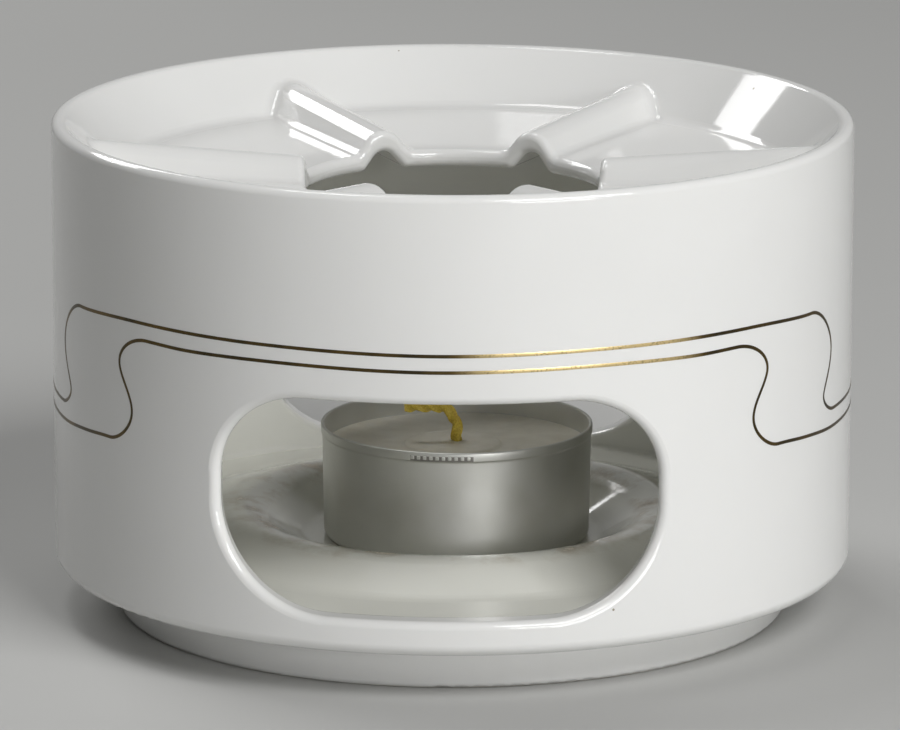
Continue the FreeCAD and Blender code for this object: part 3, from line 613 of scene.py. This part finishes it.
def cup_material():
    material, tree = new_material("drawn_aluminium_foil")
    where = (add(tree, "ShaderNodeTexCoord"), "Object")
    upright = add(tree, "ShaderNodeMapping", Vector=where, Scale=(1.0, 1.0, 0.04))
    scratch = add(tree, "ShaderNodeTexNoise", Vector=(upright, 0), Scale=1 / (0.3 * MM),
                  Detail=4.0, Roughness=0.6)
    blotch = add(tree, "ShaderNodeTexNoise", Vector=where, Scale=1 / (9 * MM), Detail=2.0)
    foil = add(tree, "ShaderNodeValToRGB", Fac=(blotch, "Fac"),
               stops=[(0.35, colour("D4D4CF")), (0.65, colour("DDDDDA"))])
    # Grey painted shade in the gaps between the teeth
    tone = add(tree, "ShaderNodeMix", {"data_type": "RGBA"}, Factor=painted_gap_shade(tree, where),
               n6=(foil, "Color"), n7=colour("8E8C88"))
    rough = add(tree, "ShaderNodeMapRange", Value=(blotch, "Fac"), n1=0.3, n2=0.7,
                n3=0.42, n4=0.48)
    bump = add(tree, "ShaderNodeBump", Strength=0.35, Distance=0.012 * MM,
               Height=(scratch, "Fac"))
    shader = add(tree, "ShaderNodeBsdfPrincipled", Base_Color=(tone, 2), Metallic=1.0,
                 Roughness=(rough, 0), Normal=(bump, 0))
    add(tree, "ShaderNodeOutputMaterial", Surface=(shader, 0))
    return material


dress(cup, cup_material())
print("foil on", cup.name)

# %% [markdown]
# ## The wax
# Wax is poured, or pressed as powder, into the cup. It shrinks as it sets, so its top is a little
# hollow towards the middle and stands up at the foil. Round the wick is a raised disc, left by the
# press, and it isn't quite in the middle of the cup.

# %% Wax
wax_steps = [(18.0, 0.31, 0), (18.85, 1.05, 0), (18.95, 6.0, 0), (19.08, 13.32, 0),
             (18.95, 13.34, 0), (18.6, 13.25, 0), (18.0, 13.2, 0), (15.0, 13.15, 0),
             (11.0, 13.12, 0), (8.6, 13.13, -0.3), (7.45, 13.14, -0.6), (7.15, 13.2, -0.6),
             (7.0, 13.36, -0.6), (6.75, 13.5, -0.6), (6.3, 13.55, -0.6), (3.5, 13.52, -0.5),
             (1.9, 13.55, -0.2), (1.45, 13.62, 0.0), (1.2, 13.74, 0.05), (0.8, 13.75, 0.05)]
wax = turn_piece(wax_steps, 128, CUP)
tidy_normals(50.0)
end_piece(wax, "tealight_wax_cast", "wax", "tealight_wax")

# %% [markdown]
# ## Paraffin wax
# Paraffin is cloudy and lets light in a long way, which softens every shadow on it, and its top
# sets with a fine grain. So it gets more subsurface light than the porcelain, a cloudy tone and a
# low bump.

# %% Wax material
def wax_material():
    material, tree = new_material("paraffin_wax")
    where = (add(tree, "ShaderNodeTexCoord"), "Object")
    cloud = add(tree, "ShaderNodeTexNoise", Vector=where, Scale=1 / (3 * MM), Detail=4.0)
    tone = add(tree, "ShaderNodeValToRGB", Fac=(cloud, "Fac"),
               stops=[(0.35, colour("DAD5C6")), (0.65, colour("E6E2D5"))])
    grain = add(tree, "ShaderNodeTexNoise", Vector=where, Scale=1 / (0.5 * MM), Detail=3.0)
    rough = add(tree, "ShaderNodeMapRange", Value=(cloud, "Fac"), n1=0.3, n2=0.7,
                n3=0.35, n4=0.5)
    bump = add(tree, "ShaderNodeBump", Strength=0.4, Distance=0.03 * MM, Height=(grain, "Fac"))
    shader = add(tree, "ShaderNodeBsdfPrincipled", Base_Color=(tone, "Color"),
                 Roughness=(rough, 0), Normal=(bump, 0), IOR=1.43, Subsurface_Weight=0.4,
                 Subsurface_Scale=1.2 * MM, Subsurface_Radius=(1.0, 0.85, 0.6))
    add(tree, "ShaderNodeOutputMaterial", Surface=(shader, 0))
    return material


dress(wax, wax_material())
print("wax on", wax.name)

# %% [markdown]
# ## The wick
# A wick is a cotton braid soaked in wax, here dyed yellow. It comes straight up out of the wax and
# has been bent over to one side. Its section is drawn as three touching strands, and a Bezier path
# carries that section upwards and round the bend. The path's tilt turns the section as it goes, so
# the strands wind round each other.

# %% Wick
def strand_section():
    """Three lobes, drawn as a closed curve that serves as the section of the wick."""
    start_piece()
    bpy.ops.curve.primitive_nurbs_circle_add(radius=1.0)
    section = bpy.context.object
    section.name = "wick_section"
    spline = section.data.splines[0]
    spline.points.add(12 - len(spline.points))
    for index, point in enumerate(spline.points):
        turn = math.radians(index * 30)
        reach = 0.92 if index % 4 in (0, 1) else 0.62
        point.co = (reach * math.cos(turn) * MM, reach * math.sin(turn) * MM, 0, 1)
    spline.resolution_u = 3
    return section


section = strand_section()
start_piece()
bpy.ops.curve.primitive_bezier_curve_add()
wick = bpy.context.object
wick.name = "wick_path"
wick.data.bevel_mode = "OBJECT"
wick.data.bevel_object = section
wick.data.use_fill_caps = True
wick.data.resolution_u = 14
# Knots: place and handle in mm
wick_knots = [((0.7, 0.0, 22.8), (0.0, 0.0, 0.8)), ((0.6, 0.0, 26.2), (-0.06, 0.0, 0.8)),
              ((-1.6, 0.0, 28.6), (-0.9, 0.0, 0.05)), ((-4.2, 0.1, 28.65), (-1.0, 0.0, 0.0)),
              ((-6.9, 0.0, 28.6), (-0.8, 0.0, -0.05))]
points = wick.data.splines[0].bezier_points
points.add(len(wick_knots) - 2)
for index, (point, (place, handle)) in enumerate(zip(points, wick_knots)):
    point.handle_left_type = point.handle_right_type = "FREE"
    point.co = Vector(place) * MM
    point.handle_left = (Vector(place) - Vector(handle)) * MM
    point.handle_right = (Vector(place) + Vector(handle)) * MM
    point.tilt = index * math.radians(150)
bpy.ops.object.convert(target="MESH")
wick = bpy.context.object
bpy.ops.object.mode_set(mode="EDIT")
tidy_normals(60.0)
end_piece(wick, "wick_braided", "wick_cotton", "wick")
bpy.data.objects.remove(section)

# %% [markdown]
# ## Waxed cotton
# The fibres of the braid are about a quarter of a millimetre wide and lie a little crossed, which
# distorted noise gives both in colour and in relief. The wax in them makes the yellow deeper and
# takes the roughness down to that of a candle.

# %% Wick material
def wick_material():
    material, tree = new_material("waxed_cotton_braid")
    where = (add(tree, "ShaderNodeTexCoord"), "Object")
    fibre = add(tree, "ShaderNodeTexNoise", Vector=where, Scale=1 / (0.25 * MM), Detail=4.0,
                Distortion=0.6)
    tone = add(tree, "ShaderNodeValToRGB", Fac=(fibre, "Fac"),
               stops=[(0.35, colour("CDAE3C")), (0.65, colour("EED65C"))])
    bump = add(tree, "ShaderNodeBump", Strength=0.8, Distance=0.08 * MM, Height=(fibre, "Fac"))
    shader = add(tree, "ShaderNodeBsdfPrincipled", Base_Color=(tone, "Color"), Roughness=0.55,
                 Normal=(bump, 0), Subsurface_Weight=0.2, Subsurface_Scale=0.6 * MM,
                 Subsurface_Radius=(1.0, 0.8, 0.4))
    add(tree, "ShaderNodeOutputMaterial", Surface=(shader, 0))
    return material


dress(wick, wick_material())
print("cotton on", wick.name)

# %% [markdown]
# ## The wick holder
# The holder is a disc of tinned sheet steel with a neck, pressed from one piece. Wax covers it, so
# the CAD node stays as it is and only gets its metal: a cool grey with fine rolling marks.

# %% Holder material
def tin_material():
    material, tree = new_material("tinned_sheet_steel")
    where = (add(tree, "ShaderNodeTexCoord"), "Object")
    rolled = add(tree, "ShaderNodeMapping", Vector=where, Scale=(0.1, 1.0, 1.0))
    marks = add(tree, "ShaderNodeTexNoise", Vector=(rolled, 0), Scale=1 / (0.4 * MM), Detail=3.0)
    tone = add(tree, "ShaderNodeValToRGB", Fac=(marks, "Fac"),
               stops=[(0.3, colour("A9ABAD")), (0.7, colour("C2C4C5"))])
    rough = add(tree, "ShaderNodeMapRange", Value=(marks, "Fac"), n3=0.25, n4=0.45)
    shader = add(tree, "ShaderNodeBsdfPrincipled", Base_Color=(tone, "Color"), Metallic=1.0,
                 Roughness=(rough, 0))
    add(tree, "ShaderNodeOutputMaterial", Surface=(shader, 0))
    return material


dress(nodes["wick_holder"], tin_material())
print("tin on", nodes["wick_holder"].name)

# %% [markdown]
# ## Floor
# The warmer stands on a plain pale board with a matt coat of paint, which runs on far behind it.
# Its tone drifts a very little over a quarter of a metre.

# %% Floor
FLOOR_SIDE = 8.0  # m

start_piece()
bpy.ops.mesh.primitive_grid_add(x_subdivisions=8, y_subdivisions=8, size=FLOOR_SIDE)
floor = bpy.context.object
floor.name = "floor_board"


def floor_material():
    material, tree = new_material("matt_painted_board")
    where = (add(tree, "ShaderNodeTexCoord"), "Object")
    cloud = add(tree, "ShaderNodeTexNoise", Vector=where, Scale=1 / (250 * MM), Detail=2.0)
    tone = add(tree, "ShaderNodeValToRGB", Fac=(cloud, "Fac"),
               stops=[(0.3, colour("BEBEBC")), (0.7, colour("C3C3C1"))])
    shader = add(tree, "ShaderNodeBsdfPrincipled", Base_Color=(tone, "Color"), Roughness=0.8)
    add(tree, "ShaderNodeOutputMaterial", Surface=(shader, 0))
    return material


dress(floor, floor_material())
print("floor of", FLOOR_SIDE, "m")

# %% [markdown]
# ## Surroundings
# What the camera and the glossy surfaces see of the world is a pale room, while the world lights
# the object only a little, so that the lamps can model its form. Light Path tells one kind of ray
# from another.

# %% World
ROOM_SEEN = 0.42    # how bright the room looks to the camera, in reflections and through glass
ROOM_LIGHTS = 0.03  # how bright it is as a lamp

world = bpy.data.worlds.new("pale_room")
bpy.context.scene.world = world
world.use_nodes = True
tree = world.node_tree
tree.nodes.clear()
rays = add(tree, "ShaderNodeLightPath")
seen = add(tree, "ShaderNodeMath", {"operation": "MAXIMUM"}, n0=(rays, "Is Camera Ray"),
           n1=(rays, "Is Glossy Ray"))
seen_through = add(tree, "ShaderNodeMath", {"operation": "MAXIMUM"}, n0=(seen, 0),
                   n1=(rays, "Is Transmission Ray"))
level = add(tree, "ShaderNodeMapRange", Value=(seen_through, 0), n3=ROOM_LIGHTS, n4=ROOM_SEEN)
sky = add(tree, "ShaderNodeBackground", Color=colour("F4F4F2"), Strength=(level, 0))
add(tree, "ShaderNodeOutputWorld", Surface=(sky, 0))
print("world", world.name)

# %% [markdown]
# ## Lamps
# Four soft boxes. The key stands to the right of the camera, 41 degrees up, and does most of the
# work. A low one near it lights the foot and the lower wall and draws the upright sheen on the
# foil. The other two stand on the left: one behind, which hardly lights the front but draws the
# highlights on ridges and rim, and a small one almost overhead, which fills the recess.

# %% Soft boxes
LAMP_TARGET = Vector((0, 0, 0.03))  # m, about the middle of the object


def softbox(name, azimuth, elevation, distance, width, height, power):
    """Azimuth counts from the front towards the right, in degrees; sizes in metres, power in W."""
    data = bpy.data.lights.new(name, "AREA")
    data.shape = "RECTANGLE"
    data.size, data.size_y = width, height
    data.energy = power
    lamp = bpy.data.objects.new(name, data)
    bpy.context.scene.collection.objects.link(lamp)
    turn, rise = math.radians(azimuth), math.radians(elevation)
    place = Vector((math.cos(rise) * math.sin(turn), -math.cos(rise) * math.cos(turn),
                    math.sin(rise))) * distance
    lamp.location = place + LAMP_TARGET
    lamp.rotation_euler = (-place).to_track_quat("-Z", "Y").to_euler()
    print(name, power, "W")


softbox("key_box", 38, 41, 1.2, 0.72, 0.42, 8.8)
softbox("low_right_box", 30, 8, 1.2, 0.5, 0.3, 3.6)
softbox("back_left_box", -141, 35, 1.2, 0.76, 0.24, 4.0)
softbox("top_left_box", -125, 72, 1.1, 0.3, 0.3, 1.7)

# %% [markdown]
# ## Camera
# The camera stands nearly a metre off with a long lens, and looks down by 13 degrees. Its place
# and lens were worked out from the ellipses of the rims and the foot ring.

# %% Camera
CAMERA_TURN = 2.1     # degrees that the camera stands to the right of the middle of the window
CAMERA_BACK = 952.05  # mm from the axis of the drum
CAMERA_UP = 257.22    # mm above the table
LOOK_DOWN = 0.2295    # radians below the horizon
AIM_LEFT = 0.000347   # radians
ROLL = 0.00158        # radians
SENSOR = 36.0         # mm wide
LENS = 270.886        # mm, for that sensor

camera_data = bpy.data.cameras.new("camera")
camera = bpy.data.objects.new("camera", camera_data)
bpy.context.scene.collection.objects.link(camera)
bpy.context.scene.camera = camera
camera_data.sensor_width = SENSOR
camera_data.lens = LENS
camera_data.clip_start = 0.05
round_by = Matrix.Rotation(math.radians(CAMERA_TURN), 4, "Z")
back_off = Matrix.Translation(Vector((0, -CAMERA_BACK, CAMERA_UP)) * MM)
aim_left = Matrix.Rotation(AIM_LEFT, 4, "Z")
look_down = Matrix.Rotation(math.radians(90) - LOOK_DOWN, 4, "X")
roll = Matrix.Rotation(ROLL, 4, "Z")
camera.matrix_world = round_by @ back_off @ aim_left @ look_down @ roll
bpy.context.scene.view_settings.view_transform = "Standard"
print("camera at", [round(value, 4) for value in camera.location])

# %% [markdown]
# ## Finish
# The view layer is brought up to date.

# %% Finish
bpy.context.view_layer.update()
